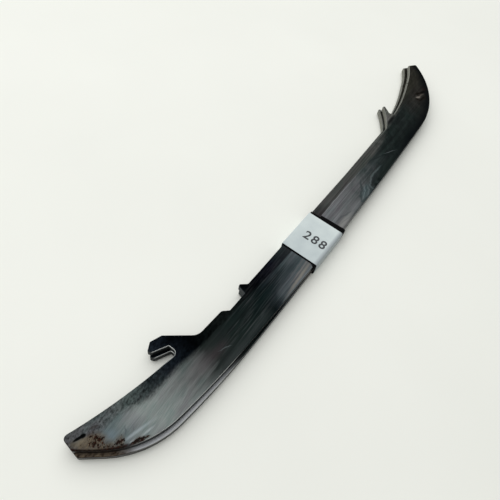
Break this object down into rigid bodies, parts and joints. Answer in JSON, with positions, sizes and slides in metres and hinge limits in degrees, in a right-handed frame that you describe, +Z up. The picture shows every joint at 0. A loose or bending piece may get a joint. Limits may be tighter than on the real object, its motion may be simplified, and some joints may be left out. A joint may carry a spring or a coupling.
{
  "type": "hockey skate blade",
  "caption": "Stacked hockey skate runners of flat hardened steel with toe and heel hooks, bound at the middle by a black tape band under a wrapped white label.",
  "frame": {"origin": "middle of the label's underside, on the surface that the pair lies on", "axes": "+X along the upper runner from toe to heel, +Y from the working edge towards the hooks, +Z up out of the surface"},
  "size_m": [0.2882, 0.0367, 0.007],
  "materials": {
    "runner_steel": "used stainless steel, ground lengthwise, with dark stain and rust at the toe",
    "black_tape": "matt black adhesive tape",
    "label_paper": "satin white label strip"
  },
  "bodies": {
    "band": {"binding_band": "black_tape", "label": "label_paper"},
    "upper_runner": {"upper_runner": "runner_steel"},
    "lower_runner": {"lower_runner": "runner_steel"}
  },
  "joints": [
    {"name": "upper_slide", "type": "slide", "parent": "band", "child": "upper_runner", "axis": [1, 0, 0], "range_m": [-0.0796, 0.0257]},
    {"name": "lower_fan", "type": "hinge", "parent": "band", "child": "lower_runner", "pos_m": [0, 0, 0.00198], "axis": [0, 0, 1], "range_deg": [-1.9, 0.1]}
  ]
}
